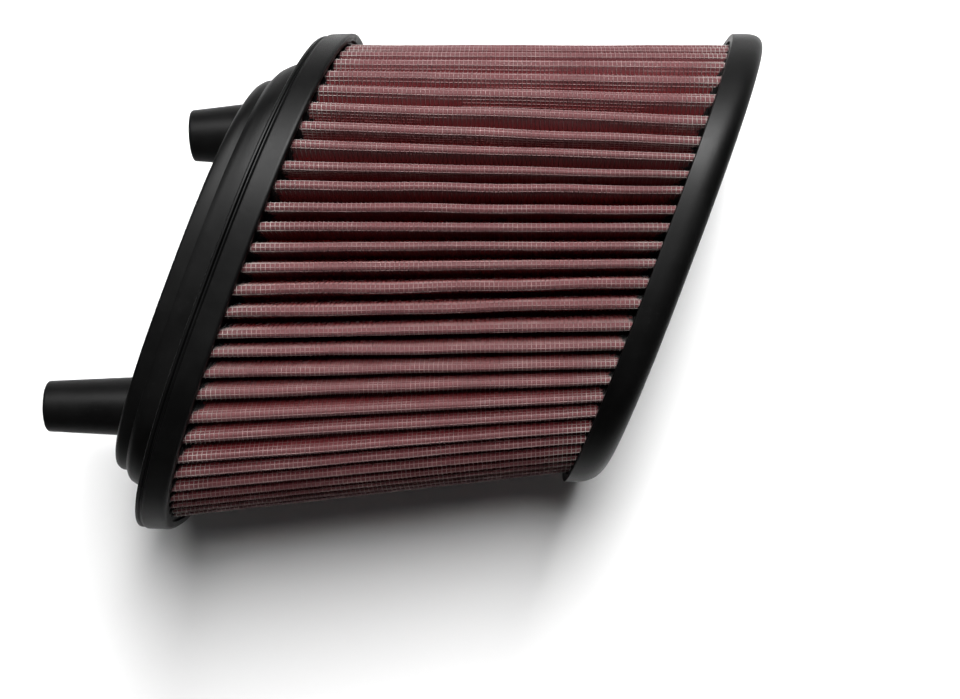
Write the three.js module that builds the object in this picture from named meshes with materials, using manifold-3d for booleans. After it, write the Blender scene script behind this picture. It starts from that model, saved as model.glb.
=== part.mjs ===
// Pleated air filter element for a motorcycle air box. A tapered oval pack of pleated, wire-backed
// cotton gauze is potted between two leaning urethane caps. The base cap carries a rigid adapter with
// the outlet mouth and two locating pegs; the end cap is closed.
//
// Units are millimetres. +X runs along the pleats from the base cap to the end cap, +Y along the long
// axis of the oval caps, and +Z up from the surface that the filter lies on. The origin is at the
// middle of the bottom of the bounding box.

import * as THREE from "three";
import { mergeVertices } from "three/addons/utils/BufferGeometryUtils.js";
import Module from "manifold-3d";

// Driving dimensions, in millimetres unless a name says otherwise.
const CAP_LEAN = THREE.MathUtils.degToRad(20.47); // both caps lean by this from square
const OVAL_POWER = 2.53; // superellipse exponent of every oval outline
const OVAL_STEPS = 48; // corners of an oval outline
const RIM_TO_RIM = 153.6; // between the caps' outer faces, along X
const FIT_GAP = 0.3; // between pieces that rest on each other

const BASE_CAP = { halfHeight: 86.5, halfDepth: 73.3, thickness: 10.6 };
const END_CAP = { halfHeight: 79.1, halfDepth: 67.5, thickness: 12, rise: 8.4, shoulder: 7 };
const CAP_LIP = 2.8; // width of the rim outside the potting channel
const POTTING_PLAY = 0.8; // clearance round the pack in a channel, which leaves room for its taper
const POTTING_DEPTH = 4; // how far the pack sinks into each cap
const WEB_THICKNESS = 5; // of the base cap inside the pack
const WEB_OPENING = { halfHeight: 60, halfDepth: 37 };

const OUTLET_RISE = 2.4; // of the adapter, boss and mouth above the base cap's axis, along Y
const ADAPTER = { halfHeight: 74.6, halfDepth: 43, thickness: 12.4, fillet: 1 };
const BOSS = { halfHeight: 68.7, halfDepth: 41.8, face: 18.4, fillet: 2.4 };
const MOUTH = { halfHeight: 29, halfDepth: 22, wall: 2, flange: 3.4, flangeThickness: 1.2 };
const GASKET_THICKNESS = 1;

const PLEATS = 70;
const PLEAT_PHASE = 0.54; // share of a pitch between the top of the oval and the first crest
const PLEAT_DEPTH = 16; // from the outermost crest to the innermost fold
const EVEN_DEPTH = 11; // the pitch is the same all round at this depth below the crests
const PLEAT_DRIFT = 1.14; // pitches by which the folds stay level while the end cap sits higher
const CREST_HALF = 0.18; // half the flat of a fold at the middle of the stack, in pitches
const VALLEY_HALF = 0.2;
const LAYERS = ["outer_screen", "outer_gauze", "inner_gauze", "inner_screen"];
const LAYER_THICKNESS = 0.3;
const LAYER_GAP = 0.12;

const SEAM_PLEAT = 35; // the fold on the floor side that holds the pack's seam
const SEAM_HALF_WIDTH = 0.6; // in pitches
const SEAM_THICKNESS = 0.8;

const PEG = {
  tipRadius: 9,
  rootRadius: 10.5,
  chamfer: 0.8,
  flare: 1,
  flareLength: 1.8,
  rootBlend: 10, // length over which the leaning root turns square
  bore: 4.3,
};
const PEG_CORE = { radius: 4, tipRecess: 2, depthInBoss: 3.4 };
const LOWER_PEG = { y: -44, length: 33.6, droop: 0 };
const UPPER_PEG = { y: 52.8, length: 18.5, droop: THREE.MathUtils.degToRad(2.5) };
const ROUND_STEPS = 24;

// Sizes that follow from the driving dimensions.
const lean = Math.tan(CAP_LEAN);
const axisHeight = BASE_CAP.halfDepth;
const stackThickness = LAYERS.length * LAYER_THICKNESS + (LAYERS.length - 1) * LAYER_GAP;
const foldHeight = PLEAT_DEPTH - stackThickness;
const packInset = CAP_LIP + POTTING_PLAY;
const packStart = BASE_CAP.thickness - POTTING_DEPTH + FIT_GAP;
const packEnd = RIM_TO_RIM - END_CAP.thickness + POTTING_DEPTH - FIT_GAP;
const bossBack = -ADAPTER.thickness - 2 * FIT_GAP;

const RUBBER = { color: 0x1b1b1c, roughness: 0.55, metalness: 0 };
const NYLON = { color: 0x161617, roughness: 0.45, metalness: 0 };
const ALUMINIUM = { color: 0x9a9c9f, roughness: 0.35, metalness: 1 };
const STEEL = { color: 0x8a8583, roughness: 0.4, metalness: 1 };
const SCREEN = { color: 0x8d6a6c, roughness: 0.5, metalness: 0.3 };
const GAUZE = { color: 0x6d1a20, roughness: 0.85, metalness: 0 };

const wasm = await Module();
wasm.setup();

// Superellipse corner at an angle measured from +Z towards +Y, as y and z offsets from its centre.
function ovalOffset(angle, halfHeight, halfDepth) {
  const swell = (value) => Math.sign(value) * Math.abs(value) ** (2 / OVAL_POWER);
  return [halfHeight * swell(Math.sin(angle)), halfDepth * swell(Math.cos(angle))];
}

// Oval outline in a plane that leans with the caps. x is where that plane meets the base cap's axis.
function ovalSection({ x, y = 0, z = axisHeight, halfHeight, halfDepth }) {
  return Array.from({ length: OVAL_STEPS }, (_, i) => {
    const [dy, dz] = ovalOffset((2 * Math.PI * i) / OVAL_STEPS, halfHeight, halfDepth);
    return leaning(x, y + dy, z + dz);
  });
}

function leaning(x, y, z) {
  return new THREE.Vector3(x + lean * y, y, z);
}

// Closed surface through sections of equal length. A ring joins its last section to its first, and its
// way back splits its quads on the other diagonal, so that both faces of a thin layer stay parallel. A
// plug is closed by a fan at each end.
function loft(sections, { ring }) {
  const count = sections[0].length;
  const points = sections.flat();
  const triangles = [];
  const bands = ring ? sections.length : sections.length - 1;
  for (let band = 0; band < bands; band += 1) {
    const here = band * count;
    const next = ((band + 1) % sections.length) * count;
    const back = ring && band >= bands / 2;
    for (let i = 0; i < count; i += 1) {
      const j = (i + 1) % count;
      const corners = [here + i, next + i, next + j, here + j];
      const [a, b, c, d] = back ? [...corners.slice(1), corners[0]] : corners;
      triangles.push(a, b, c, a, c, d);
    }
  }
  if (!ring) {
    closeEnd(points, triangles, 0, count, false);
    closeEnd(points, triangles, (sections.length - 1) * count, count, true);
  }
  const geometry = new THREE.BufferGeometry().setFromPoints(points);
  geometry.setIndex(triangles);
  geometry.computeVertexNormals();
  return geometry;
}

function closeEnd(points, triangles, first, count, far) {
  const centre = new THREE.Vector3();
  for (let i = 0; i < count; i += 1) {
    centre.addScaledVector(points[first + i], 1 / count);
  }
  const middle = points.push(centre) - 1;
  for (let i = 0; i < count; i += 1) {
    const a = first + i;
    const b = first + ((i + 1) % count);
    triangles.push(middle, far ? b : a, far ? a : b);
  }
}

function toManifold(geometry) {
  const bare = geometry.clone();
  bare.deleteAttribute("normal");
  bare.deleteAttribute("uv");
  const merged = mergeVertices(bare, 1e-4);
  return new wasm.Manifold(
    new wasm.Mesh({
      numProp: 3,
      vertProperties: new Float32Array(merged.attributes.position.array),
      triVerts: new Uint32Array(merged.index.array),
    }),
  );
}

function subtract(geometry, ...cutters) {
  let solid = toManifold(geometry);
  for (const cutter of cutters) {
    solid = solid.subtract(toManifold(cutter));
  }
  const mesh = solid.getMesh();
  const result = new THREE.BufferGeometry();
  result.setAttribute("position", new THREE.BufferAttribute(mesh.vertProperties, 3));
  result.setIndex(new THREE.BufferAttribute(mesh.triVerts, 1));
  result.computeVertexNormals();
  return result;
}

function piece(name, geometry, finish) {
  const mesh = new THREE.Mesh(geometry, new THREE.MeshStandardMaterial(finish));
  mesh.name = name;
  return mesh;
}

// --- Caps ---

// Sections of one oval body, from [x, halfHeight, halfDepth] rows.
function ovalSections(rows, place = {}) {
  return rows.map(([x, halfHeight, halfDepth]) => ovalSection({ x, halfHeight, halfDepth, ...place }));
}

// The base cap: a rim, a potting channel for the pleats, and a thinner web with the adapter's opening.
function baseCap() {
  const { halfHeight: h, halfDepth: d, thickness } = BASE_CAP;
  const inner = packInset + PLEAT_DEPTH + POTTING_PLAY;
  const lipInner = inner + 1.8;
  const floor = thickness - POTTING_DEPTH;
  const rows = [
    [0, h - 1, d - 1],
    [0.7, h, d],
    [thickness - 0.7, h, d],
    [thickness, h - 0.7, d - 0.7],
    [thickness, h - CAP_LIP, d - CAP_LIP],
    [floor, h - CAP_LIP, d - CAP_LIP],
    [floor, h - inner, d - inner],
    [thickness, h - inner, d - inner],
    [thickness, h - lipInner, d - lipInner],
    [WEB_THICKNESS, h - lipInner, d - lipInner],
    [WEB_THICKNESS, WEB_OPENING.halfHeight, WEB_OPENING.halfDepth],
    [0, WEB_OPENING.halfHeight, WEB_OPENING.halfDepth],
  ];
  return piece("base_cap", loft(ovalSections(rows), { ring: true }), RUBBER);
}

// The end cap: closed, with a round outer shoulder and the same potting channel.
function endCap() {
  const { halfHeight: h, halfDepth: d, thickness, shoulder } = END_CAP;
  const inner = packInset + PLEAT_DEPTH + POTTING_PLAY;
  const start = RIM_TO_RIM - thickness;
  const floor = start + POTTING_DEPTH;
  const arc = [0, 1, 2, 3, 4].map((step) => {
    const angle = (step / 4) * (Math.PI / 2);
    const inset = shoulder * (1 - Math.cos(angle));
    return [RIM_TO_RIM - shoulder * (1 - Math.sin(angle)), h - inset, d - inset];
  });
  const rows = [
    [start, h - inner, d - inner],
    [floor, h - inner, d - inner],
    [floor, h - CAP_LIP, d - CAP_LIP],
    [start, h - CAP_LIP, d - CAP_LIP],
    [start, h - 0.3, d - 0.3],
    [start + 0.3, h, d],
    ...arc,
  ];
  return piece("end_cap", loft(ovalSections(rows, endPlace()), { ring: false }), RUBBER);
}

// The end cap sits higher than the base cap and shares its floor level.
function endPlace() {
  return { y: END_CAP.rise, z: END_CAP.halfDepth };
}

// A stiffening plate bonded to the inside of the end cap, within the pack.
function endPlate() {
  const inset = packInset + PLEAT_DEPTH + 4;
  const h = END_CAP.halfHeight - inset;
  const d = END_CAP.halfDepth - inset;
  const back = RIM_TO_RIM - END_CAP.thickness - FIT_GAP;
  const rows = [
    [back - 1.5, h - 1, d - 1],
    [back - 1.1, h, d],
    [back, h, d],
  ];
  return piece("end_plate", loft(ovalSections(rows, endPlace()), { ring: false }), STEEL);
}

// --- Adapter, boss and outlet ---

// Rows that round the edge between a front face and the side of an oval body.
function roundShoulder(face, halfHeight, halfDepth, fillet) {
  return [4, 3, 2, 1, 0].map((step) => {
    const angle = (step / 4) * (Math.PI / 2);
    const inset = fillet * (1 - Math.cos(angle));
    return [face + fillet * (1 - Math.sin(angle)), halfHeight - inset, halfDepth - inset];
  });
}

// The thick oval step between the base cap and the boss.
function adapterPlate() {
  const { halfHeight: h, halfDepth: d, thickness, fillet } = ADAPTER;
  const back = -FIT_GAP;
  const front = back - thickness;
  const throat = mouthOuter(FIT_GAP);
  const rows = [
    ...roundShoulder(front, h, d, fillet),
    [back, h, d],
    [back, throat.halfHeight, throat.halfDepth],
    [front, throat.halfHeight, throat.halfDepth],
  ];
  return piece("adapter_plate", loft(ovalSections(rows, { y: OUTLET_RISE }), { ring: true }), NYLON);
}

// Outer half sizes of the outlet collar's tube, grown by a clearance.
function mouthOuter(clearance) {
  const grown = MOUTH.wall + clearance;
  return { halfHeight: MOUTH.halfHeight + grown, halfDepth: MOUTH.halfDepth + grown };
}

// Outer half sizes of the collar's flange, grown by a clearance.
function flangeOuter(clearance) {
  return mouthOuter(MOUTH.flange + clearance);
}

// The raised boss: a round-shouldered oval with a recess for the flange and a throat for the collar.
function outletBoss() {
  const { halfHeight: h, halfDepth: d, face, fillet } = BOSS;
  const throat = mouthOuter(FIT_GAP);
  const recess = flangeOuter(FIT_GAP);
  const seat = -face + MOUTH.flangeThickness + GASKET_THICKNESS + 2 * FIT_GAP;
  const rows = [
    ...roundShoulder(-face, h, d, fillet),
    [bossBack, h, d],
    [bossBack, throat.halfHeight, throat.halfDepth],
    [seat, throat.halfHeight, throat.halfDepth],
    [seat, recess.halfHeight, recess.halfDepth],
    [-face, recess.halfHeight, recess.halfDepth],
  ];
  const body = loft(ovalSections(rows, { y: OUTLET_RISE }), { ring: true });
  const sockets = [LOWER_PEG, UPPER_PEG].map((peg) => {
    const hole = rod(PEG_CORE.radius + FIT_GAP, -PEG_CORE.depthInBoss - 1, 30);
    return hole.applyMatrix4(pegMatrix(peg));
  });
  return piece("outlet_boss", subtract(body, ...sockets), NYLON);
}

// The metal collar that lines the mouth, with a flange flush with the boss's face.
function outletCollar() {
  const { halfHeight: h, halfDepth: d, flangeThickness } = MOUTH;
  const tube = mouthOuter(0);
  const flange = flangeOuter(0);
  const front = -BOSS.face;
  const back = WEB_THICKNESS;
  const rows = [
    [front + 1, h, d],
    [front, h + 1, d + 1],
    [front, flange.halfHeight, flange.halfDepth],
    [front + flangeThickness, flange.halfHeight, flange.halfDepth],
    [front + flangeThickness, tube.halfHeight, tube.halfDepth],
    [back, tube.halfHeight, tube.halfDepth],
    [back, h, d],
  ];
  return piece("outlet_collar", loft(ovalSections(rows, { y: OUTLET_RISE }), { ring: true }), ALUMINIUM);
}

// A flat ring gasket between the collar's flange and its seat in the boss.
function outletGasket() {
  const inner = mouthOuter(FIT_GAP);
  const outer = flangeOuter(0);
  const front = -BOSS.face + MOUTH.flangeThickness + FIT_GAP;
  const back = front + GASKET_THICKNESS;
  const rows = [
    [front, inner.halfHeight, inner.halfDepth],
    [front, outer.halfHeight, outer.halfDepth],
    [back, outer.halfHeight, outer.halfDepth],
    [back, inner.halfHeight, inner.halfDepth],
  ];
  return piece("outlet_gasket", loft(ovalSections(rows, { y: OUTLET_RISE }), { ring: true }), RUBBER);
}

// --- Locating pegs ---

// A peg's own frame: its axis is +Y with the root at 0. This turns it to point along -X on the boss.
function pegMatrix({ y, droop }) {
  const turn = new THREE.Matrix4().makeRotationZ(Math.PI / 2 + droop);
  const root = leaning(-BOSS.face, y, axisHeight);
  return turn.setPosition(root);
}

function rod(radius, from, to) {
  const cylinder = new THREE.CylinderGeometry(radius, radius, to - from, ROUND_STEPS);
  return cylinder.translate(0, (from + to) / 2, 0);
}

// A tapered rubber sleeve. Its root follows the leaning face of the boss.
function pegSleeve(name, peg) {
  const { tipRadius, rootRadius, chamfer, flare, flareLength, rootBlend, bore } = PEG;
  const tip = peg.length;
  const outline = [
    [bore, 0],
    [rootRadius + flare, 0],
    [rootRadius + flare * 0.25, flareLength / 2],
    [rootRadius, flareLength],
    [tipRadius, tip - chamfer],
    [tipRadius - chamfer, tip],
    [bore + chamfer, tip],
    [bore, tip - chamfer],
    [bore, 0],
  ].map(([radius, along]) => new THREE.Vector2(radius, along));
  const geometry = new THREE.LatheGeometry(outline, ROUND_STEPS);
  const position = geometry.attributes.position;
  const slope = Math.tan(CAP_LEAN + peg.droop);
  for (let i = 0; i < position.count; i += 1) {
    const fade = THREE.MathUtils.clamp(1 - position.getY(i) / rootBlend, 0, 1);
    const shift = FIT_GAP * fade - slope * position.getX(i) * fade;
    position.setY(i, position.getY(i) + shift);
  }
  geometry.applyMatrix4(pegMatrix(peg));
  return piece(name, geometry, RUBBER);
}

function pegCore(name, peg) {
  const { radius, tipRecess, depthInBoss } = PEG_CORE;
  const geometry = rod(radius, -depthInBoss, peg.length - tipRecess);
  geometry.applyMatrix4(pegMatrix(peg));
  return piece(name, geometry, STEEL);
}

// --- Pleat pack ---

// The curve at a fixed depth inside an oval. Equal steps along it space the pleats.
class FoldCurve extends THREE.Curve {
  constructor(halfHeight, halfDepth) {
    super();
    this.halfHeight = halfHeight;
    this.halfDepth = halfDepth;
    this.arcLengthDivisions = 2000;
  }

  // The outline's point and inward normal, both in the y, z plane.
  frame(t) {
    const step = 1e-3;
    const [y, z] = ovalOffset(2 * Math.PI * t, this.halfHeight, this.halfDepth);
    const [y0, z0] = ovalOffset(2 * Math.PI * (t - step), this.halfHeight, this.halfDepth);
    const [y1, z1] = ovalOffset(2 * Math.PI * (t + step), this.halfHeight, this.halfDepth);
    const length = Math.hypot(y1 - y0, z1 - z0);
    return { y, z, inwardY: (z1 - z0) / length, inwardZ: (y0 - y1) / length };
  }

  getPoint(t, target = new THREE.Vector3()) {
    const { y, z, inwardY, inwardZ } = this.frame(t);
    return target.set(0, y + inwardY * EVEN_DEPTH, z + inwardZ * EVEN_DEPTH);
  }

  // A point at a share of the way round and a depth below the crests.
  place(share, depth, { x, y, z }) {
    const whole = share - Math.floor(share);
    const at = this.frame(this.getUtoTmapping(whole));
    return leaning(x, y + at.y + at.inwardY * depth, z + at.z + at.inwardZ * depth);
  }
}

// The pack's two ends: its outline, where its plane meets the axis, and how far its folds have drifted.
const packEnds = [
  {
    curve: new FoldCurve(BASE_CAP.halfHeight - packInset, BASE_CAP.halfDepth - packInset),
    centre: { x: packStart, y: 0, z: axisHeight },
    drift: 0,
  },
  {
    curve: new FoldCurve(END_CAP.halfHeight - packInset, END_CAP.halfDepth - packInset),
    centre: { x: packEnd, ...endPlace() },
    drift: PLEAT_DRIFT,
  },
];

// A share of the way round, given in pitches from the first crest.
function foldShare(pitches, drift) {
  const share = (pitches + PLEAT_PHASE) / PLEATS;
  return share - (drift / PLEATS) * Math.cos(2 * Math.PI * share);
}

// One surface of the stack at one end, at an outward offset from the stack's middle.
function pleatSection({ curve, centre, drift }, offset) {
  const pitch = curve.getLength() / PLEATS;
  const run = (0.5 - CREST_HALF - VALLEY_HALF) * pitch;
  const mitre = Math.tan(Math.atan2(foldHeight, run) / 2);
  const widening = (mitre * offset) / pitch;
  const crest = CREST_HALF + widening;
  const valley = VALLEY_HALF - widening;
  const crestDepth = stackThickness / 2 - offset;
  const valleyDepth = crestDepth + foldHeight;
  const fold = (pitches, depth) => curve.place(foldShare(pitches, drift), depth, centre);
  const section = [];
  for (let i = 0; i < PLEATS; i += 1) {
    section.push(fold(i - crest, crestDepth));
    section.push(fold(i + crest, crestDepth));
    section.push(fold(i + 0.5 - valley, valleyDepth));
    section.push(fold(i + 0.5 + valley, valleyDepth));
  }
  return section;
}

// One pleated layer: its outer surface, its inner surface and its two edges in the potting.
function pleatedLayer(name, index, finish) {
  const outer = stackThickness / 2 - index * (LAYER_THICKNESS + LAYER_GAP);
  const inner = outer - LAYER_THICKNESS;
  const [start, end] = packEnds;
  const sections = [
    pleatSection(start, inner),
    pleatSection(start, outer),
    pleatSection(end, outer),
    pleatSection(end, inner),
  ];
  return piece(name, loft(sections, { ring: true }), finish);
}

// The strip that closes the pack's seam, along the inner folds on the floor side, from cap to cap.
function seamClip() {
  const near = PLEAT_DEPTH + POTTING_PLAY;
  const far = near + SEAM_THICKNESS;
  const reach = POTTING_DEPTH;
  const sections = packEnds.map(({ curve, centre, drift }, end) => {
    const at = { ...centre, x: centre.x + (end === 0 ? reach : -reach) };
    const corner = (side, depth) => {
      return curve.place(foldShare(SEAM_PLEAT + side * SEAM_HALF_WIDTH, drift), depth, at);
    };
    return [corner(-1, near), corner(1, near), corner(1, far), corner(-1, far)];
  });
  return piece("seam_clip", loft(sections, { ring: false }), STEEL);
}

const filter = new THREE.Group();
filter.add(baseCap(), endCap(), endPlate());
filter.add(adapterPlate(), outletBoss(), outletCollar(), outletGasket());
filter.add(pegCore("lower_peg_core", LOWER_PEG), pegSleeve("lower_peg_sleeve", LOWER_PEG));
filter.add(pegCore("upper_peg_core", UPPER_PEG), pegSleeve("upper_peg_sleeve", UPPER_PEG));
for (const [index, name] of LAYERS.entries()) {
  filter.add(pleatedLayer(name, index, name.endsWith("screen") ? SCREEN : GAUZE));
}
filter.add(seamClip());

// The origin goes to the middle of the bottom of the bounding box.
const bounds = new THREE.Box3().setFromObject(filter, true);
const middle = bounds.getCenter(new THREE.Vector3());
filter.position.set(-middle.x, -middle.y, -bounds.min.z);

const group = new THREE.Group();
group.add(filter);

export default group;
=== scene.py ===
"""Looks for the pleated air filter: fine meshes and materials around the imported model, in metres.

The filter lies on its broad side. +X runs along the pleats from the base cap to the end cap, +Y along
the long axis of the oval caps, and +Z up. Sizes below are in millimetres until a mesh is made.
"""

import math

import bmesh
import bpy
import numpy as np
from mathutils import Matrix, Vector


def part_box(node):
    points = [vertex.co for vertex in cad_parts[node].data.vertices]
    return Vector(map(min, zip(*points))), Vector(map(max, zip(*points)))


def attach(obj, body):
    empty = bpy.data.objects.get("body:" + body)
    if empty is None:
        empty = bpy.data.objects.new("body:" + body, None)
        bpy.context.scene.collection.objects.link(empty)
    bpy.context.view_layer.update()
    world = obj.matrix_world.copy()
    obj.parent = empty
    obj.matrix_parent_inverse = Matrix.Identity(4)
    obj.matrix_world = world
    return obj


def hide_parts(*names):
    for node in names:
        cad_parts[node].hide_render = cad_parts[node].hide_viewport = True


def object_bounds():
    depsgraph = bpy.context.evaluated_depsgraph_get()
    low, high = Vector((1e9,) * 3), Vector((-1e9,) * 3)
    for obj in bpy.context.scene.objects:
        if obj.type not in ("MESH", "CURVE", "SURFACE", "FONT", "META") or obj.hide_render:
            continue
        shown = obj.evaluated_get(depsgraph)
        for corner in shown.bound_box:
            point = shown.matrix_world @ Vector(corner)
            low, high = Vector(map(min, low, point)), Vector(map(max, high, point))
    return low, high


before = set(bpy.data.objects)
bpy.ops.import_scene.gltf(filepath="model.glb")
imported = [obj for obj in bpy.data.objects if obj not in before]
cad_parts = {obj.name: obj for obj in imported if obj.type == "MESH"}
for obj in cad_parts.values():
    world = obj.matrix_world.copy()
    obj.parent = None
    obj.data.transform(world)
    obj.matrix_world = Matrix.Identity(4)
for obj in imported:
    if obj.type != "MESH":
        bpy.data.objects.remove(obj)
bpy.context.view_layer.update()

MM = 0.001

# Shape rules that the whole filter shares.
CAP_LEAN = math.radians(20.47)
LEAN = math.tan(CAP_LEAN)
OVAL_POWER = 2.53
OVAL_STEPS = 224
FIT_GAP = 0.3
SUPPORT = 0.2  # between the end of a rounding and the point that holds the straight beside it
ARC_STEPS = 5  # of a small rounding
ARC_STEPS_PER_MM = 1.5  # more for a larger one
WELD_DISTANCE = 1e-6  # in metres

# Caps
BASE_THICKNESS = 10.6
END_THICKNESS = 12.0
CAP_LIP = 2.8
INNER_LIP = 1.8
POTTING_DEPTH = 4.0
POTTING_PLAY = 0.8  # between the folds and each wall of the channel that holds them
POTTING_LEVEL = 1.1  # of the set urethane below the rim
WEB_THICKNESS = 5.0
WEB_OPENING = (60.0, 37.0)
END_SHOULDER = 8.0

# Adapter, boss and outlet
ADAPTER_THICKNESS = 12.4
BOSS_FACE = 18.4  # in front of the base cap's face
BOSS_THICKNESS = 5.4
COLLAR_LENGTH = 23.4
COLLAR_WALL = 2.0
FLANGE_WIDTH = 3.4
FLANGE_THICKNESS = 1.2
GASKET_THICKNESS = 1.0

# Pegs
PEG_TIP_RADIUS = 9.0
PEG_ROOT_RADIUS = 10.5
PEG_FLARE = 1.0
PEG_FLARE_LENGTH = 2.2
PEG_ROOT_BLEND = 10.0  # length over which the leaning root turns square
PEG_BORE = 4.3
PEG_CORE_RADIUS = 4.0
PEG_CORE_DEPTH = 3.2  # into the boss
PEG_CORE_RECESS = 2.0  # below the sleeve's tip
PEGS = {
    "lower": {"height": -44.0, "length": 33.6, "droop": 0.0},
    "upper": {"height": 52.8, "length": 18.5, "droop": math.radians(2.5)},
}

# Pleats
PLEATS = 70
PLEAT_PHASE = 0.54  # of a pitch, from the top of the oval to the first crest
PLEAT_DEPTH = 16.0
EVEN_DEPTH = 11.0  # below the crests, where the folds are evenly spaced
PLEAT_DRIFT = 1.14  # in pitches, from cap to cap at the middle of each broad side
OUTLINE_SAMPLES = 8001
CREST_RADIUS = 1.5
STACK = 1.2  # thickness of all the layers together
LAYER_GAP = 0.03
WIRE_PITCH = 1.5
WIRE_RADIUS = 0.15
LONG_WIRE_RADIUS = 0.8 * WIRE_RADIUS
LONG_WIRE_SINK = 0.9 * WIRE_RADIUS  # below the cross wires
LONG_WIRES = 6  # to each side of a crest
TUBE_SPOKES = ((1.0, 0.0), (-0.5, 0.87), (-0.5, -0.87))  # out of the sheet and sideways, in radii
TUBE_SIDES = len(TUBE_SPOKES)
THREAD_PITCH = 0.62

# Where the folds crowd at each cap: middle and reach as shares of the way round, and shift in pitches.
BASE_CROWDING = [(-0.125, 0.09, -0.42), (-0.03, 0.045, -0.27)]
END_CROWDING = [(-0.105, 0.085, -0.42), (-0.045, 0.055, -0.4), (0.11, 0.055, -0.5)]

# Wander of each fold: sideways in pitches and sinking in millimetres. A ripple is its size and its
# number of waves from cap to cap.
SIDE_WANDER = 0.035
SLOW_RIPPLE = (0.022, 1.1)
QUICK_RIPPLE = (0.012, 3.1)
SINK_WANDER = 0.16
SINK_RIPPLE = (0.1, 2.2)

# Stage, with the lights' places, sizes and target in metres
FLOOR_REACH = 6000.0
WORLD_LIGHT = 0.035
LIGHT_TARGET = (0.0, 0.0, 0.05)
CAMERA_LENS = 64.28
CAMERA_SHIFT = (-0.0432, -0.0385)
CAMERA_PLACE = (94.2, -10.75, 535.6)  # from the base cap's axis in x and y, and above the top


# --- Mesh helpers ---


def mesh_object(name, points, faces, material, uv=None, depth=None):
    """A smooth mesh object from points in millimetres and quads, with a uv and a depth per point."""
    points = np.asarray(points, dtype=np.float32).reshape(-1, 3) * MM
    faces = np.asarray(faces, dtype=np.int32)
    mesh = bpy.data.meshes.new(name)
    mesh.vertices.add(len(points))
    mesh.vertices.foreach_set("co", points.ravel())
    mesh.loops.add(faces.size)
    mesh.loops.foreach_set("vertex_index", faces.ravel())
    mesh.polygons.add(len(faces))
    mesh.polygons.foreach_set("loop_start", np.arange(0, faces.size, faces.shape[1], dtype=np.int32))
    mesh.polygons.foreach_set("use_smooth", np.ones(len(faces), dtype=bool))
    mesh.update(calc_edges=True)
    if uv is not None:
        layer = mesh.uv_layers.new(name="UVMap")
        layer.data.foreach_set("uv", np.asarray(uv, dtype=np.float32)[faces.ravel()].ravel())
    if depth is not None:
        layer = mesh.uv_layers.new(name="Depth")
        pairs = np.stack([depth, np.zeros_like(depth)], axis=-1)
        layer.data.foreach_set("uv", np.asarray(pairs, dtype=np.float32)[faces.ravel()].ravel())
    obj = bpy.data.objects.new(name, mesh)
    bpy.context.scene.collection.objects.link(obj)
    mesh.materials.append(material)
    return obj


def grid_faces(rows, columns, wrap_rows):
    """Quads of a rows by columns grid, with its last column, and if asked its last row, joined back."""
    row = np.arange(rows if wrap_rows else rows - 1)[:, None]
    column = np.arange(columns)[None, :]
    here, below = row * columns, (row + 1) % rows * columns
    beside = (column + 1) % columns
    quads = [here + column, below + column, below + beside, here + beside]
    return np.stack(quads, axis=-1).reshape(-1, 4)


def rounded(corners):
    """A closed outline with each corner cut by a smooth arc. A corner is its place and its reach.

    Each long straight gets a point near both of its ends, which keeps its shading flat.
    """
    places = np.array([corner[:-1] for corner in corners], dtype=float)
    reach = np.array([corner[-1] for corner in corners], dtype=float)
    out = []
    for i, place in enumerate(places):
        after = (i + 1) % len(places)
        back = places[i - 1] - place
        ahead = places[after] - place
        span = np.linalg.norm(ahead)
        a = place + back / np.linalg.norm(back) * reach[i]
        b = place + ahead / span * reach[i]
        steps = ARC_STEPS + round(ARC_STEPS_PER_MM * reach[i])
        for t in np.linspace(0, 1, steps if reach[i] > 0 else 1):
            out.append((1 - t) ** 2 * a + 2 * t * (1 - t) * place + t * t * b)
        if span - reach[i] - reach[after] > 4 * SUPPORT:
            out.append(place + ahead / span * (reach[i] + SUPPORT))
            out.append(place + ahead / span * (span - reach[after] - SUPPORT))
    return np.array(out)


def oval_offset(angle, half_height, half_depth):
    """Superellipse corner at an angle from +Z towards +Y, as y and z offsets from its centre."""
    sine, cosine = np.sin(angle), np.cos(angle)
    y = half_height * np.sign(sine) * np.abs(sine) ** (2 / OVAL_POWER)
    z = half_depth * np.sign(cosine) * np.abs(cosine) ** (2 / OVAL_POWER)
    return y, z


class Station:
    """The axis of one leaning piece: the middle of its box in y and z, and its middle plane in x."""

    def __init__(self, node):
        lo, hi = (np.array(corner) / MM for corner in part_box(node))
        self.x, self.y, self.z = (lo + hi) / 2
        self.half_height = (hi[1] - lo[1]) / 2
        self.half_depth = (hi[2] - lo[2]) / 2

    def lean(self, x, dy, dz):
        """A row of points, at x along the axis and dy, dz from it, in a plane that leans."""
        return np.stack([x + LEAN * dy, self.y + dy, self.z + dz], axis=-1)

    def ring(self, rows):
        """Points of an oval body from rows of x, half height and half depth."""
        angle = np.arange(OVAL_STEPS) / OVAL_STEPS * 2 * np.pi
        sections = []
        for x, half_height, half_depth in rows:
            dy, dz = oval_offset(angle, half_height, half_depth)
            sections.append(self.lean(np.full_like(dy, x), dy, dz))
        return np.array(sections)


# Where the pack starts and stops along the caps' axes.
PACK_START = Station("base_cap").x + BASE_THICKNESS / 2 - POTTING_DEPTH + FIT_GAP
PACK_STOP = Station("end_cap").x - END_THICKNESS / 2 + POTTING_DEPTH - FIT_GAP
PACK_LENGTH = PACK_STOP - PACK_START


def finish_piece(obj, node):
    """Rides a piece on the filter's body in place of its CAD node."""
    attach(obj, "root")
    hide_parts(node)


def oval_ring(name, station, corners, material):
    """A ring-shaped oval piece. Corners are x, half height, half depth and rounding."""
    points = station.ring(rounded(corners))
    faces = grid_faces(len(points), OVAL_STEPS, True)
    finish_piece(mesh_object(name, points, faces, material), name)


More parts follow.
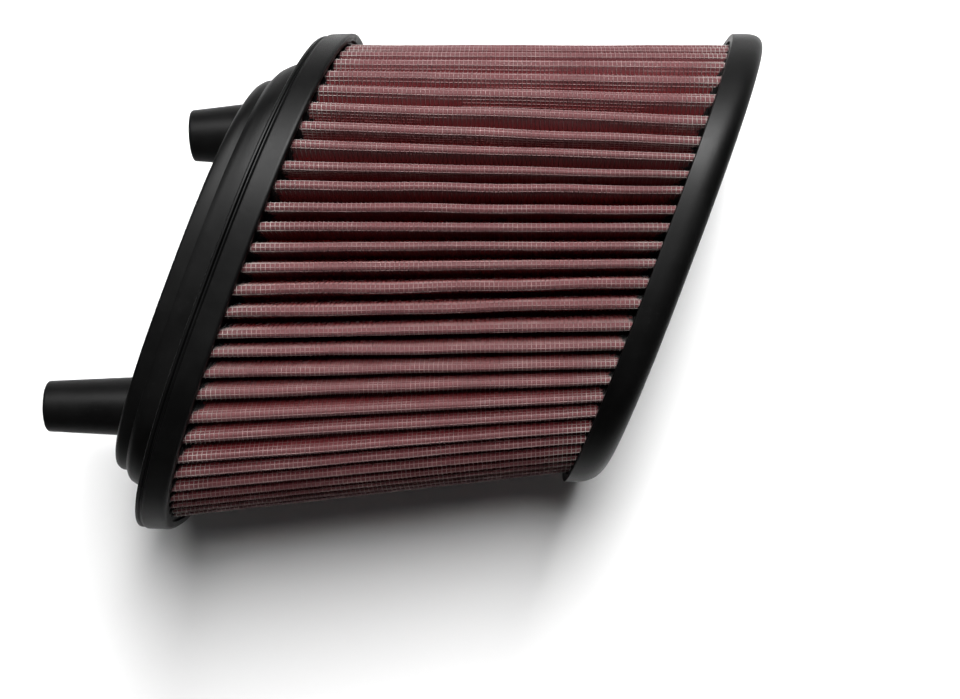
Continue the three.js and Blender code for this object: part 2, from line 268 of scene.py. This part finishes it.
def oval_plug(name, station, corners, material):
    """A closed oval piece: an outline from the middle of one face to the middle of the other."""
    points = station.ring(rounded(corners))
    faces = grid_faces(len(points), OVAL_STEPS, False)
    obj = mesh_object(name, points, faces, material)
    weld(obj)
    finish_piece(obj, name)


def weld(obj):
    """Joins the points that meet in the middle of each face, and turns all faces outward."""
    work = bmesh.new()
    work.from_mesh(obj.data)
    bmesh.ops.remove_doubles(work, verts=work.verts, dist=WELD_DISTANCE)
    bmesh.ops.recalc_face_normals(work, faces=work.faces)
    work.to_mesh(obj.data)
    work.free()


# --- Materials ---


def neutral(value):
    """A grey from black at 0 to white at 1."""
    return (value, value, value, 1)


class Nodes:
    """A short way to build a material's node tree."""

    def __init__(self, name):
        self.material = bpy.data.materials.new(name)
        self.material.use_nodes = True
        self.tree = self.material.node_tree
        self.shader = self.tree.nodes["Principled BSDF"]

    def add(self, kind, inputs=(), **settings):
        node = self.tree.nodes.new(kind)
        for key, value in settings.items():
            setattr(node, key, value)
        for key, value in dict(inputs).items():
            self.feed(node.inputs[key], value)
        return node

    def feed(self, socket, value):
        if isinstance(value, bpy.types.NodeSocket):
            self.tree.links.new(value, socket)
        else:
            socket.default_value = value

    def math(self, operation, a, b=0.0):
        return self.add("ShaderNodeMath", {0: a, 1: b}, operation=operation).outputs[0]

    def mix(self, share, a, b):
        node = self.add("ShaderNodeMix", data_type="RGBA")
        self.feed(node.inputs[0], share)
        self.feed(node.inputs[6], a)
        self.feed(node.inputs[7], b)
        return node.outputs[2]

    def ramp(self, value, low, high, out_low=0.0, out_high=1.0):
        node = self.add("ShaderNodeMapRange", {0: value, 1: low, 2: high, 3: out_low, 4: out_high})
        return node.outputs[0]

    def noise(self, scale, detail=3.0, roughness=0.5, vector=None):
        inputs = {"Scale": scale, "Detail": detail, "Roughness": roughness}
        node = self.add("ShaderNodeTexNoise", inputs)
        self.feed(node.inputs["Vector"], vector or self.place())
        return node.outputs[0]

    def place(self):
        return self.add("ShaderNodeTexCoord").outputs["Object"]

    def uv(self):
        split = self.add("ShaderNodeSeparateXYZ", {0: self.add("ShaderNodeTexCoord").outputs["UV"]})
        return split.outputs[0], split.outputs[1]

    def fold_depth(self):
        """How deep in the folds a point is: 0 at the crests and 1 at the inner folds."""
        node = self.add("ShaderNodeUVMap", uv_map="Depth")
        return self.add("ShaderNodeSeparateXYZ", {0: node.outputs[0]}).outputs[0]

    def bump(self, height, strength, distance):
        node = self.add("ShaderNodeBump", {"Height": height, "Strength": strength, "Distance": distance})
        return node.outputs[0]

    def surface(self, colour, roughness, bump=None, **fixed):
        self.feed(self.shader.inputs["Base Color"], colour)
        self.feed(self.shader.inputs["Roughness"], roughness)
        if bump:
            self.feed(self.shader.inputs["Normal"], bump)
        for key, value in fixed.items():
            self.shader.inputs[key.replace("_", " ")].default_value = value
        return self.material


def moulded(name, roughness, grain_scale, grain_depth):
    """Black moulded rubber, urethane or nylon: fine grain, faint flow marks and dust."""
    n = Nodes(name)
    flow = n.noise(38.0, 4.0, 0.6)
    dust = n.noise(900.0, 2.0, 0.7)
    grain = n.noise(grain_scale, 4.0, 0.65)
    colour = n.mix(n.ramp(flow, 0.35, 0.7), neutral(0.0012), neutral(0.0026))
    colour = n.mix(n.ramp(dust, 0.66, 0.8, 0.0, 0.25), colour, (0.015, 0.015, 0.0145, 1))
    rough = n.ramp(flow, 0.3, 0.7, roughness - 0.06, roughness + 0.07)
    rough = n.math("ADD", rough, n.ramp(dust, 0.6, 0.8, 0.0, 0.12))
    return n.surface(colour, rough, n.bump(grain, 0.35, grain_depth), Specular_IOR_Level=0.05)


def brushed(name, dark, light, roughness, stretch):
    """Satin metal with brushing along one axis and light staining."""
    n = Nodes(name)
    scaled = n.add("ShaderNodeVectorMath", {0: n.place(), 1: stretch}, operation="MULTIPLY").outputs[0]
    lines = n.noise(900.0, 3.0, 0.6, vector=scaled)
    stain = n.noise(55.0, 4.0, 0.6)
    colour = n.mix(n.ramp(stain, 0.35, 0.7), dark, light)
    rough = n.ramp(lines, 0.3, 0.7, roughness - 0.1, roughness + 0.12)
    return n.surface(colour, rough, n.bump(lines, 0.25, 0.0001), Metallic=1.0)


def distance_from_caps(n, along):
    """How far a point of the pack is from the nearer cap, in metres along the folds."""
    return n.math("MINIMUM", along, n.math("SUBTRACT", PACK_LENGTH * MM, along))


def potting_edge(n, along):
    """Share of black urethane: all of it by the caps, with a ragged edge a few millimetres out."""
    near = distance_from_caps(n, along)
    ragged = n.ramp(n.noise(420.0, 3.0, 0.7), 0.3, 0.7, 0.0, 1.5 * MM)
    ragged = n.math("MULTIPLY", ragged, n.ramp(n.fold_depth(), 0.05, 0.4, 0.4, 3.0))
    return n.ramp(n.math("SUBTRACT", near, ragged), 3.0 * MM, 3.6 * MM, 1.0, 0.0)


def gauze_material():
    """Oiled red cotton: a thread weave set out on the unrolled sheet, with darker oil-soaked patches,
    and a painted highlight that makes the crests lighter and greyer.
    """
    n = Nodes("oiled_gauze")
    along, across = n.uv()
    thread = 2 * math.pi / (THREAD_PITCH * MM)
    warp = n.math("SINE", n.math("MULTIPLY", along, thread))
    weft = n.math("SINE", n.math("MULTIPLY", across, thread))
    weave = n.math("MULTIPLY", n.math("ADD", warp, weft), 0.25)
    weave = n.math("ADD", weave, n.math("MULTIPLY", n.math("MULTIPLY", warp, weft), 0.25))
    soak = n.noise(70.0, 4.0, 0.6)
    fuzz = n.noise(1500.0, 2.0, 0.7)
    colour = n.mix(n.ramp(soak, 0.32, 0.7), (0.052, 0.007, 0.009, 1), (0.085, 0.019, 0.022, 1))
    colour = n.mix(n.ramp(weave, -0.4, 0.6, 0.0, 0.4), colour, (0.14, 0.038, 0.042, 1))
    colour = n.mix(n.ramp(fuzz, 0.55, 0.75, 0.0, 0.3), colour, (0.18, 0.055, 0.06, 1))
    # Painted highlight: near the crests the gauze is mixed towards a lighter, greyer pink.
    colour = n.mix(n.ramp(n.fold_depth(), 0.0, 0.12, 0.4, 0.0), colour, (0.115, 0.06, 0.062, 1))
    colour = n.mix(n.ramp(n.fold_depth(), 0.12, 0.55), colour, (0.2, 0.003, 0.005, 1))
    colour = n.mix(potting_edge(n, along), colour, neutral(0.003))
    rough = n.ramp(soak, 0.3, 0.7, 0.55, 0.8)
    height = n.math("ADD", weave, n.math("MULTIPLY", fuzz, 0.5))
    relief = n.bump(height, 0.6, 0.0002)
    return n.surface(colour, rough, relief, Sheen_Weight=0.1, Specular_IOR_Level=0.09)


def wire_material():
    """Coated wire: pink where the oil has reached it and greyer towards the caps, with painted shade
    that darkens it deep in the folds.
    """
    n = Nodes("coated_wire")
    along, _ = n.uv()
    ends = n.ramp(distance_from_caps(n, along), 5 * MM, 18 * MM, 1.0, 0.12)
    patch = n.noise(60.0, 4.0, 0.65)
    speck = n.noise(1300.0, 2.0, 0.7)
    pink = n.mix(n.ramp(patch, 0.35, 0.68), (0.14, 0.06, 0.062, 1), (0.25, 0.155, 0.152, 1))
    grey = n.mix(n.ramp(patch, 0.3, 0.7), (0.18, 0.15, 0.142, 1), (0.35, 0.32, 0.3, 1))
    colour = n.mix(n.math("MULTIPLY", ends, n.ramp(patch, 0.2, 0.5)), pink, grey)
    colour = n.mix(n.ramp(speck, 0.5, 0.75, 0.0, 0.4), colour, (0.26, 0.16, 0.155, 1))
    # Painted shade: deep in the folds the wire is mixed towards a dark red.
    colour = n.mix(n.ramp(n.fold_depth(), 0.12, 0.5, 0.0, 0.9), colour, (0.18, 0.006, 0.008, 1))
    colour = n.mix(potting_edge(n, along), colour, neutral(0.004))
    rough = n.ramp(speck, 0.3, 0.7, 0.32, 0.5)
    relief = n.bump(speck, 0.3, 0.00005)
    return n.surface(colour, rough, relief, Metallic=0.06, Specular_IOR_Level=0.12)


urethane = moulded("urethane", 0.43, 2600.0, 0.00012)
nylon = moulded("nylon", 0.42, 3600.0, 0.0001)
rubber = moulded("rubber", 0.42, 1900.0, 0.0001)
aluminium = brushed("aluminium", (0.45, 0.46, 0.48, 1), (0.62, 0.63, 0.65, 1), 0.34, (1.0, 0.15, 0.15))
steel = brushed("steel", (0.3, 0.3, 0.31, 1), (0.5, 0.5, 0.52, 1), 0.38, (0.08, 1.0, 1.0))
gauze = gauze_material()
wire = wire_material()


# --- Caps, adapter and outlet ---


def build_caps():
    """The base cap, open in the middle, and the closed end cap with its round shoulder."""
    base = Station("base_cap")
    half_height, half_depth = base.half_height, base.half_depth
    face = base.x - BASE_THICKNESS / 2
    back = face + BASE_THICKNESS
    potting = back - POTTING_LEVEL
    inner = CAP_LIP + POTTING_PLAY + PLEAT_DEPTH + POTTING_PLAY
    web = face + WEB_THICKNESS
    corners = [
        (face, half_height - 2.4, half_depth - 1.5, 0.4),
        (face + 0.1, half_height - 1.0, half_depth - 0.25, 0.5),
        (face + 1.2, half_height - 0.8, half_depth - 0.25, 0.4),
        (face + 1.5, half_height - 1.2, half_depth - 1.2, 0.3),
        (face + 2.2, half_height - 1.0, half_depth - 1.2, 0.3),
        (face + 2.6, half_height - 0.3, half_depth - 0.2, 0.5),
        (back, half_height, half_depth, 1.4),
        (back, half_height - CAP_LIP, half_depth - CAP_LIP, 0.4),
        (potting, half_height - CAP_LIP, half_depth - CAP_LIP, 0.3),
        (potting, half_height - inner, half_depth - inner, 0.3),
        (back, half_height - inner, half_depth - inner, 0.3),
        (back, half_height - inner - INNER_LIP, half_depth - inner - INNER_LIP, 0.5),
        (web, half_height - inner - INNER_LIP, half_depth - inner - INNER_LIP, 0.4),
        (web, *WEB_OPENING, 0.3),
        (face, *WEB_OPENING, 0.3),
    ]
    oval_ring("base_cap", base, corners, urethane)

    end = Station("end_cap")
    half_height, half_depth = end.half_height, end.half_depth
    back = end.x + END_THICKNESS / 2
    start = back - END_THICKNESS
    potting = start + POTTING_LEVEL
    corners = [
        (start, 0, 0, 0),
        (start, half_height - inner, half_depth - inner, 0.4),
        (potting, half_height - inner, half_depth - inner, 0.2),
        (potting, half_height - CAP_LIP, half_depth - CAP_LIP, 0.2),
        (start, half_height - CAP_LIP, half_depth - CAP_LIP, 0.4),
        (start, half_height - 0.1, half_depth - 0.1, 0.4),
        (back, half_height, half_depth, END_SHOULDER),
        (back, half_height * 0.5, half_depth * 0.5, 0.1),
        (back, 0, 0, 0),
    ]
    oval_plug("end_cap", end, corners, urethane)


def build_outlet():
    """The adapter's step, the raised boss, and the collar and gasket that line the mouth."""
    mouth = Station("outlet_collar")
    flange = np.array([mouth.half_height, mouth.half_depth])
    tube = flange - FLANGE_WIDTH
    bore = tube - COLLAR_WALL
    throat = tube + FIT_GAP
    recess = flange + FIT_GAP

    boss = Station("outlet_boss")
    half_height, half_depth = boss.half_height, boss.half_depth
    face = boss.x - BOSS_THICKNESS / 2
    back = face + BOSS_THICKNESS
    seat = face + FLANGE_THICKNESS + GASKET_THICKNESS + 2 * FIT_GAP
    corners = [
        (face, half_height - 3.4, half_depth - 0.2, 0.4),
        (face + 0.7, half_height - 1.5, half_depth - 0.05, 0.8),
        (face + 2.6, half_height, half_depth, 1.2),
        (back, half_height, half_depth, 0.2),
        (back, *throat, 0.2),
        (seat, *throat, 0.2),
        (seat, *recess, 0.1),
        (face, *recess, 0.4),
    ]
    oval_ring("outlet_boss", boss, corners, nylon)

    plate = Station("adapter_plate")
    half_height, half_depth = plate.half_height, plate.half_depth
    front = plate.x - ADAPTER_THICKNESS / 2
    back = front + ADAPTER_THICKNESS
    corners = [
        (front, half_height - 4.5, half_depth - 0.3, 0.2),
        (front + 1.5, half_height - 2.2, half_depth - 0.1, 1.2),
        (front + 5.5, half_height, half_depth, 2.0),
        (back, half_height, half_depth, 0.2),
        (back, *throat, 0.2),
        (front, *throat, 0.2),
    ]
    oval_ring("adapter_plate", plate, corners, nylon)

    corners = [
        (face, *bore, 0.9),
        (face, *flange, 0.3),
        (face + FLANGE_THICKNESS, *flange, 0.2),
        (face + FLANGE_THICKNESS, *tube, 0.2),
        (face + COLLAR_LENGTH, *tube, 0.3),
        (face + COLLAR_LENGTH, *bore, 0.3),
    ]
    oval_ring("outlet_collar", mouth, corners, aluminium)

    front = face + FLANGE_THICKNESS + FIT_GAP
    back = front + GASKET_THICKNESS
    corners = [
        (front, *throat, 0.3),
        (front, *flange, 0.3),
        (back, *flange, 0.3),
        (back, *throat, 0.3),
    ]
    oval_ring("outlet_gasket", mouth, corners, rubber)


# --- Pleated pack ---


class PackEnd:
    """One end of the pack: the outline of its crests, and the places round it at even fold spacing."""

    def __init__(self, station, x, drift, crowding):
        inset = CAP_LIP + POTTING_PLAY
        angle = np.linspace(0, 2 * np.pi, OUTLINE_SAMPLES)
        y, z = oval_offset(angle, station.half_height - inset, station.half_depth - inset)
        step_y, step_z = np.gradient(y), np.gradient(z)
        step_y[0] = step_y[-1] = (y[1] - y[-2]) / 2
        step_z[0] = step_z[-1] = (z[1] - z[-2]) / 2
        length = np.hypot(step_y, step_z)
        self.table = np.stack([y, z, step_z / length, -step_y / length])
        inner_y = y + self.table[2] * EVEN_DEPTH
        inner_z = z + self.table[3] * EVEN_DEPTH
        run = np.hypot(np.diff(inner_y), np.diff(inner_z))
        self.share = np.concatenate([[0], np.cumsum(run)])
        self.pitch = self.share[-1] / PLEATS
        self.share /= self.share[-1]
        self.station = station
        self.x = x
        self.drift = drift
        self.crowding = crowding

    def place(self, pitches, depth):
        """Points at a place round the oval, in pitches from the first crest, and a depth below it."""
        share = (pitches + PLEAT_PHASE) / PLEATS
        turn = (share + 0.5) % 1 - 0.5
        shift = -self.drift * np.cos(2 * np.pi * share)
        for centre, reach, amount in self.crowding:
            near = np.clip((turn - centre) / reach, -1, 1)
            shift = shift + amount * np.cos(near * np.pi / 2) ** 2
        share = (share + shift / PLEATS) % 1
        y, z, inward_y, inward_z = (np.interp(share, self.share, row) for row in self.table)
        return self.station.lean(self.x, y + inward_y * depth, z + inward_z * depth)


class Pack:
    """The folds: straight from end to end but for the small wander of each one."""

    def __init__(self):
        self.ends = (
            PackEnd(Station("base_cap"), PACK_START, 0.0, BASE_CROWDING),
            PackEnd(Station("end_cap"), PACK_STOP, PLEAT_DRIFT, END_CROWDING),
        )
        rng = np.random.default_rng(7)
        self.wander = rng.normal(0, 1, (PLEATS, 6))
        self.waves = rng.uniform(0, 2 * np.pi, (PLEATS, 3))

    def fold_profile(self, offset, arc_steps, flank_steps):
        """One fold of the sheet at an outward offset: sideways places in pitches, and depths."""
        half_pitch = sum(end.pitch for end in self.ends) / 4
        radius = CREST_RADIUS - STACK / 2
        top, bottom = CREST_RADIUS, PLEAT_DEPTH - CREST_RADIUS
        slant = 0.1  # a first guess, which the rounds below settle
        for _ in range(30):
            run = half_pitch - 2 * radius * math.cos(slant)
            slant = math.atan2(run, bottom - top + 2 * radius * math.sin(slant))
        reach = math.pi / 2 - slant
        swing = np.linspace(-reach, reach, arc_steps)
        crest_r, valley_r = radius + offset, radius - offset
        crest = np.stack([crest_r * np.sin(swing), top - crest_r * np.cos(swing)])
        valley = np.stack([half_pitch + valley_r * np.sin(swing), bottom + valley_r * np.cos(swing)])
        down = self.between(crest[:, -1], valley[:, 0], flank_steps)
        next_crest = crest[:, 0] + np.array([2 * half_pitch, 0])
        up = self.between(valley[:, -1], next_crest, flank_steps)
        profile = np.concatenate([crest, down, valley, up], axis=1)
        return profile[0] / (2 * half_pitch), profile[1], profile

    @staticmethod
    def ripple(size_and_waves, amount, share, start):
        size, waves = size_and_waves
        return size * amount * np.sin(2 * np.pi * share * waves + start)

    @staticmethod
    def between(a, b, steps):
        share = np.arange(1, steps + 1) / (steps + 1)
        return a[:, None] + (b - a)[:, None] * share[None, :]

    def section(self, share, fold, side, depth):
        """Points at a share of the length, for folds by number, sideways place and depth."""
        wander = self.wander[fold].T
        wave = self.waves[fold].T
        swell = np.sin(np.pi * share) ** 0.5
        slow = self.ripple(SLOW_RIPPLE, wander[1], share, wave[0])
        quick = self.ripple(QUICK_RIPPLE, wander[2], share, wave[1])
        shift = SIDE_WANDER * wander[0] + swell * (slow + quick)
        sink = SINK_WANDER * wander[3] + self.ripple(SINK_RIPPLE, wander[4], share, wave[2])
        upper = np.clip(1 - depth / PLEAT_DEPTH, 0, 1)
        pitches = fold + side + shift * upper
        sunk = depth + np.abs(sink) * upper
        start, stop = (end.place(pitches, sunk) for end in self.ends)
        return start + (stop - start) * np.reshape(share, (-1, 1))

    def depths(self, arc_steps, flank_steps):
        """Depth of each point of a loop at the middle of the stack, as a share of the pleat's."""
        _, depth, _ = self.fold_profile(0.0, arc_steps, flank_steps)
        return np.tile(depth, PLEATS) / PLEAT_DEPTH

    def share_at(self, x, fold, side, depth):
        """Where along the folds a plane square to them crosses, kept within the pack."""
        start, stop = (end.place(fold + side, depth)[:, 0] for end in self.ends)
        return np.clip((x - start) / (stop - start), 0.0, 1.0)

    def loop(self, share, offset, arc_steps, flank_steps):
        """All the folds at one share of the length."""
        side, depth, _ = self.fold_profile(offset, arc_steps, flank_steps)
        fold = np.repeat(np.arange(PLEATS), len(side))
        return self.section(share, fold, np.tile(side, PLEATS), np.tile(depth, PLEATS))


def pleated_sheet(pack, name, outer, inner, material, arc_steps, flank_steps, stations):
    """A closed pleated layer between two offsets from the middle of the stack."""
    shares = np.linspace(0, 1, stations)
    there = [pack.loop(share, outer, arc_steps, flank_steps) for share in shares]
    back = [pack.loop(share, inner, arc_steps, flank_steps) for share in shares[::-1]]
    points = np.array(there + back)
    rows, columns = points.shape[:2]
    _, _, profile = pack.fold_profile(0.0, arc_steps, flank_steps)
    steps = np.hypot(*np.diff(profile, axis=1))
    unrolled = np.concatenate([[0], np.cumsum(steps)])
    fold_length = unrolled[-1] + steps[-1]
    across = (np.tile(unrolled, PLEATS) + np.repeat(np.arange(PLEATS), len(unrolled)) * fold_length) * MM
    along = np.concatenate([shares, shares[::-1]]) * PACK_LENGTH * MM
    uv = np.stack(np.broadcast_arrays(along[:, None], across[None, :]), axis=-1).reshape(-1, 2)
    depth = np.tile(pack.depths(arc_steps, flank_steps), rows)
    faces = grid_faces(rows, columns, True)
    finish_piece(mesh_object(name, points, faces, material, uv=uv, depth=depth), name)


def wire_tubes(lines, normals, sideways, radius):
    """Three-sided tubes along lines of points. Normals point out of the sheet."""
    count, length = lines.shape[:2]
    points = np.stack([lines + radius * (a * normals + b * sideways) for a, b in TUBE_SPOKES], axis=2)
    base = grid_faces(length, TUBE_SIDES, False)
    faces = (np.arange(count)[:, None, None] * length * TUBE_SIDES + base[None]).reshape(-1, 4)
    return points.reshape(-1, 3), faces


def unit(rows):
    return rows / np.linalg.norm(rows, axis=-1, keepdims=True)


def cross_wires(pack, offset):
    """Wires square to the folds: one tube over each fold for every plane that crosses it."""
    edge = 0.01
    side, depth, _ = pack.fold_profile(offset, arc_steps=9, flank_steps=1)
    side = np.append(side, side[0] + 1)
    depth = np.append(depth, depth[0])
    per_fold = len(side)
    fold = np.repeat(np.arange(PLEATS), per_fold)
    sides, depths = np.tile(side, PLEATS), np.tile(depth, PLEATS)
    ends = [end.place(fold + sides, depths)[:, 0] for end in pack.ends]
    planes = np.arange(ends[0].min() + WIRE_PITCH / 2, ends[1].max(), WIRE_PITCH)
    lines, shares = [], []
    for x in planes:
        share = pack.share_at(x, fold, sides, depths)
        points = pack.section(share, fold, sides, depths).reshape(PLEATS, per_fold, 3)
        share = share.reshape(PLEATS, per_fold)
        inside = (share.max(axis=1) > edge) & (share.min(axis=1) < 1 - edge)
        lines.append(points[inside])
        shares.append(share[inside])
    lines, shares = np.concatenate(lines), np.concatenate(shares)
    tangent = unit(np.gradient(lines, axis=1))
    along = np.zeros_like(tangent)
    along[..., 0] = 1
    normal = unit(np.cross(along, tangent))
    points, faces = wire_tubes(lines, normal, along, WIRE_RADIUS)
    uv = np.zeros((len(points), 2))
    uv[:, 0] = np.repeat(shares.ravel(), TUBE_SIDES) * PACK_LENGTH * MM
    depth = np.repeat(np.tile(depth, len(lines)), TUBE_SIDES) / PLEAT_DEPTH
    return points, faces, uv, depth


def long_wires(pack, offset):
    """Wires along the outer part of every fold, evenly spaced over the crest and down both flanks."""
    crest_steps = 33
    side, depth, profile = pack.fold_profile(offset - LONG_WIRE_SINK, crest_steps, flank_steps=24)
    steps = np.hypot(*np.diff(profile, axis=1))
    run = np.concatenate([[0], np.cumsum(steps)])
    total = run[-1] + steps[-1]
    picks = run[crest_steps // 2] + np.arange(-LONG_WIRES, LONG_WIRES + 1) * WIRE_PITCH
    sides = np.interp(picks % total, run, side) - (picks < 0)
    depths = np.interp(picks % total, run, depth)
    fold = np.repeat(np.arange(PLEATS), len(sides))
    sides, depths = np.tile(sides, PLEATS), np.tile(depths, PLEATS)
    stations = np.linspace(0, 1, 25)
    lines = np.stack([pack.section(share, fold, sides, depths) for share in stations], axis=1)
    before, after = (pack.section(0.5, fold, sides + nudge, depths) for nudge in (-0.01, 0.01))
    sideways = unit(after - before)
    outward = unit(np.cross(np.array([1.0, 0.0, 0.0]), sideways))
    spread = [np.broadcast_to(rows[:, None, :], lines.shape) for rows in (outward, sideways)]
    points, faces = wire_tubes(lines, *spread, LONG_WIRE_RADIUS)
    uv = np.zeros((len(points), 2))
    uv[:, 0] = np.tile(np.repeat(stations, TUBE_SIDES), len(lines)) * PACK_LENGTH * MM
    depth = np.repeat(depths / PLEAT_DEPTH, len(stations) * TUBE_SIDES)
    return points, faces, uv, depth


def outer_screen(pack):
    """The woven screen over the folds."""
    offset = STACK / 2 - WIRE_RADIUS
    points, faces, uv, depth = cross_wires(pack, offset)
    more_points, more_faces, more_uv, more_depth = long_wires(pack, offset)
    obj = mesh_object(
        "outer_screen",
        np.concatenate([points, more_points]),
        np.concatenate([faces, more_faces + len(points)]),
        wire,
        uv=np.concatenate([uv, more_uv]),
        depth=np.concatenate([depth, more_depth]),
    )
    finish_piece(obj, "outer_screen")


def build_pack():
    """Two layers of gauze between a plain inner screen and the woven outer one."""
    pack = Pack()
    half = STACK / 2
    layer = half - 2 * WIRE_RADIUS
    fine = {"arc_steps": 9, "flank_steps": 3, "stations": 29}
    plain = {"arc_steps": 7, "flank_steps": 1, "stations": 15}
    pleated_sheet(pack, "outer_gauze", layer, LAYER_GAP, gauze, **fine)
    pleated_sheet(pack, "inner_gauze", 0.0, LAYER_GAP - layer, gauze, **plain)
    pleated_sheet(pack, "inner_screen", -layer, -half, wire, **plain)
    outer_screen(pack)


# --- Pegs ---


def lathe(name, outline, axis_point, axis, steps, material, root_slope=0.0):
    """A turned piece: outline rows are distance along the axis, radius and rounding.

    Its root leans by the slope, which fades out along the axis.
    """
    rows = rounded(outline)
    along, radius = rows[:, 0], rows[:, 1]
    angle = np.arange(steps) / steps * 2 * np.pi
    up = np.array([0.0, 0.0, 1.0])
    side = np.cross(up, axis)
    fade = np.clip(1 - along / PEG_ROOT_BLEND, 0, 1)[:, None]
    across = radius[:, None] * np.cos(angle)[None, :]
    lift = radius[:, None] * np.sin(angle)[None, :]
    reach = along[:, None] + root_slope * across * fade
    points = (
        axis_point
        + reach[..., None] * axis
        + across[..., None] * side
        + lift[..., None] * up
    )
    faces = grid_faces(len(rows), steps, True)
    finish_piece(mesh_object(name, points, faces, material), name)


def build_peg(which, height, length, droop):
    """A rubber sleeve on a metal core, with its root on the boss's leaning face."""
    base = Station("base_cap")
    face = base.x - BASE_THICKNESS / 2 - BOSS_FACE
    root = np.array([face + LEAN * height, base.y + height, base.z])
    axis = np.array([-math.cos(droop), -math.sin(droop), 0.0])
    outline = [
        (FIT_GAP, PEG_BORE, 0.0),
        (FIT_GAP, PEG_ROOT_RADIUS + PEG_FLARE, 0.15),
        (PEG_FLARE_LENGTH, PEG_ROOT_RADIUS, 1.6),
        (length, PEG_TIP_RADIUS, 1.0),
        (length, PEG_BORE, 0.9),
    ]
    slope = math.tan(CAP_LEAN + droop)
    lathe(f"{which}_peg_sleeve", outline, root, axis, 96, rubber, root_slope=slope)
    outline = [
        (-PEG_CORE_DEPTH, 0.01, 0.0),
        (-PEG_CORE_DEPTH, PEG_CORE_RADIUS, 0.5),
        (length - PEG_CORE_RECESS, PEG_CORE_RADIUS, 0.7),
        (length - PEG_CORE_RECESS, 0.01, 0.0),
    ]
    lathe(f"{which}_peg_core", outline, root, axis, 48, steel)


# --- Stage ---


def pale_floor():
    n = Nodes("pale_floor")
    tone = n.mix(n.ramp(n.noise(6.0, 2.0), 0.3, 0.7), neutral(0.9), neutral(0.92))
    return n.surface(tone, 0.9, Specular_IOR_Level=0.1)


def build_stage():
    corners = [(-1, -1, 0), (1, -1, 0), (1, 1, 0), (-1, 1, 0)]
    floor = mesh_object("floor", np.array(corners) * FLOOR_REACH, [[0, 1, 2, 3]], pale_floor())


def area_light(name, place, width, length, power):
    """A soft box that points at the filter. Seen from above, its length runs towards the filter."""
    light = bpy.data.lights.new(name, "AREA")
    light.shape = "RECTANGLE"
    light.size = width
    light.size_y = length
    light.energy = power
    obj = bpy.data.objects.new(name, light)
    obj.location = place
    obj.rotation_euler = (Vector(LIGHT_TARGET) - Vector(place)).to_track_quat("-Z", "Y").to_euler()
    bpy.context.scene.collection.objects.link(obj)
    return obj


def build_light():
    """A long key light for the tones and shadow, and a smaller strip that only the gloss shows."""
    scene = bpy.context.scene
    world = bpy.data.worlds.new("studio")
    world.use_nodes = True
    world.node_tree.nodes["Background"].inputs[0].default_value = neutral(1)
    world.node_tree.nodes["Background"].inputs[1].default_value = WORLD_LIGHT
    scene.world = world
    key = area_light("key", place=(0.17, 0.66, 1.18), width=0.42, length=1.08, power=41.0)
    key.visible_glossy = False
    strip = area_light("strip", place=(0.05, 0.72, 1.04), width=0.5, length=0.4, power=95.0)
    strip.visible_diffuse = False
    scene.view_settings.view_transform = "Standard"


def build_camera():
    """Square on to the broad side, straight above it."""
    camera = bpy.data.cameras.new("camera")
    camera.sensor_width = 36.0
    camera.lens = CAMERA_LENS
    camera.shift_x, camera.shift_y = CAMERA_SHIFT
    camera.clip_start = 0.01
    obj = bpy.data.objects.new("camera", camera)
    base = Station("base_cap")
    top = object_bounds()[1][2] / MM
    obj.location = (np.array([base.x, base.y, top]) + CAMERA_PLACE) * MM
    bpy.context.scene.collection.objects.link(obj)
    bpy.context.scene.camera = obj


build_camera()
build_caps()
build_outlet()
build_pack()
for which, peg in PEGS.items():
    build_peg(which, **peg)
for node in ("end_plate", "seam_clip"):
    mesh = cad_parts[node].data
    mesh.materials.clear()
    mesh.materials.append(steel)
build_stage()
build_light()
